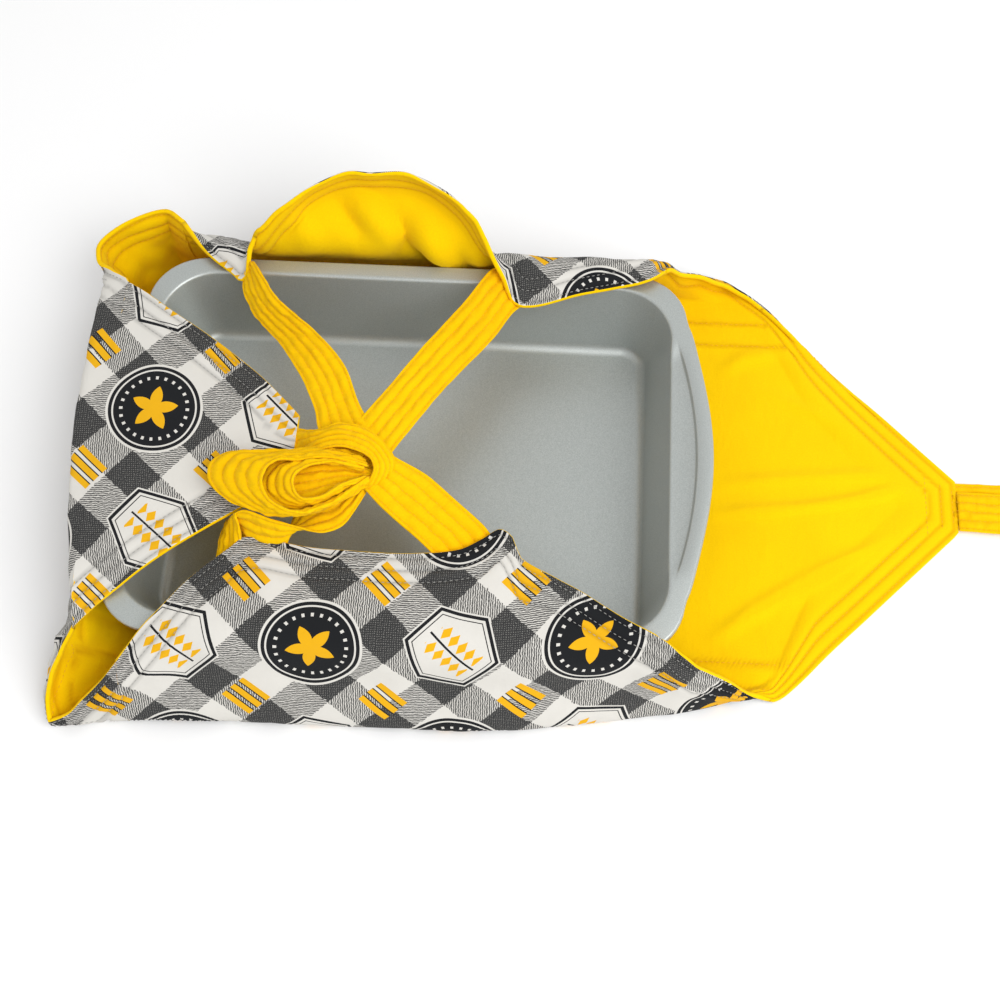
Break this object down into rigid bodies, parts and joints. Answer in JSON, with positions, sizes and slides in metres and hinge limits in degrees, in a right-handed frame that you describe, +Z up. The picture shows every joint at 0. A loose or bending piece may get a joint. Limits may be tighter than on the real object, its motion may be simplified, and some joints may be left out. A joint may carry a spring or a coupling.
{
  "type": "casserole carrier",
  "caption": "Quilted square cloth carrier folded cornerwise round a rectangular baking pan, its sewn straps tied over the middle and one pointed end laid open.",
  "frame": {"origin": "middle of the base panel's underside, on the table", "axes": "+X towards the end that lies open, +Z up from the table"},
  "size_m": [0.7365, 0.3494, 0.112],
  "materials": {
    "printed_cotton": "woven cotton, printed check in greys, black, white and yellow",
    "batting": "soft white wadding",
    "yellow_cotton": "plain woven cotton, topstitched",
    "strap_cotton": "plain woven cotton folded to a strap and stitched in rows",
    "pan_metal": "satin grey non-stick coating on pressed steel"
  },
  "bodies": {
    "carrier": {"base_outer": "printed_cotton", "base_batting": "batting", "base_lining": "yellow_cotton", "front_flap_outer": "printed_cotton", "front_flap_batting": "batting", "front_flap_lining": "yellow_cotton", "back_flap_outer": "printed_cotton", "back_flap_batting": "batting", "back_flap_lining": "yellow_cotton", "left_wall_outer": "printed_cotton", "left_wall_batting": "batting", "left_wall_lining": "yellow_cotton", "back_left_ear_outer": "printed_cotton", "back_left_ear_batting": "batting", "back_left_ear_lining": "yellow_cotton"},
    "left_flap": {"left_flap_outer": "printed_cotton", "left_flap_batting": "batting", "left_flap_lining": "yellow_cotton"},
    "right_wall": {"right_wall_outer": "printed_cotton", "right_wall_batting": "batting", "right_wall_lining": "yellow_cotton"},
    "right_tip": {"right_tip_outer": "printed_cotton", "right_tip_batting": "batting", "right_tip_lining": "yellow_cotton"},
    "right_tie": {"right_tie": "strap_cotton"},
    "back_handle": {"back_left_strap": "strap_cotton", "back_right_strap": "strap_cotton", "knot_heart": "strap_cotton", "left_tie_wrap": "strap_cotton"},
    "front_handle": {"front_left_strap": "strap_cotton", "front_right_strap": "strap_cotton"},
    "tie_loop": {"tie_loop_outer": "strap_cotton", "tie_loop_inner": "strap_cotton"},
    "pan": {"pan": "pan_metal"}
  },
  "joints": [
    {"name": "handle_lift", "type": "hinge", "parent": "carrier", "child": "back_handle", "pos_m": [-0.024, 0.104, 0.0702], "axis": [-1, 0, 0], "range_deg": [0, 12]},
    {"name": "front_handle_lift", "type": "hinge", "parent": "carrier", "child": "front_handle", "pos_m": [-0.01, -0.072, 0.0702], "axis": [1, 0, 0], "range_deg": [0, 36]},
    {"name": "left_flap_lift", "type": "hinge", "parent": "carrier", "child": "left_flap", "pos_m": [-0.1895, 0, 0.0702], "axis": [0, -1, 0], "range_deg": [0, 9.6]},
    {"name": "tie_loop_swing", "type": "hinge", "parent": "back_handle", "child": "tie_loop", "pos_m": [-0.024, -0.038, 0.0832], "axis": [0, 1, 0], "range_deg": [0, 60]},
    {"name": "right_wall_fold", "type": "hinge", "parent": "carrier", "child": "right_wall", "pos_m": [0.162, 0, 0.0042], "axis": [0, -1, 0], "range_deg": [0, 55]},
    {"name": "right_tip_fold", "type": "hinge", "parent": "right_wall", "child": "right_tip", "pos_m": [0.23482, 0, 0.0042], "axis": [0, -1, 0], "range_deg": [0, 95]},
    {"name": "right_tie_swing", "type": "hinge", "parent": "right_tip", "child": "right_tie", "pos_m": [0.352, 0, 0.0066], "axis": [0, 1, 0], "range_deg": [-90, 0]},
    {"name": "pan_slide", "type": "slide", "parent": "carrier", "child": "pan", "axis": [-1, 0, 0], "range_m": [-0.15, 0]}
  ],
  "couplings": [
    {"joint": "front_handle_lift", "follows": "handle_lift", "ratio": 3},
    {"joint": "left_flap_lift", "follows": "handle_lift", "ratio": 0.8}
  ]
}
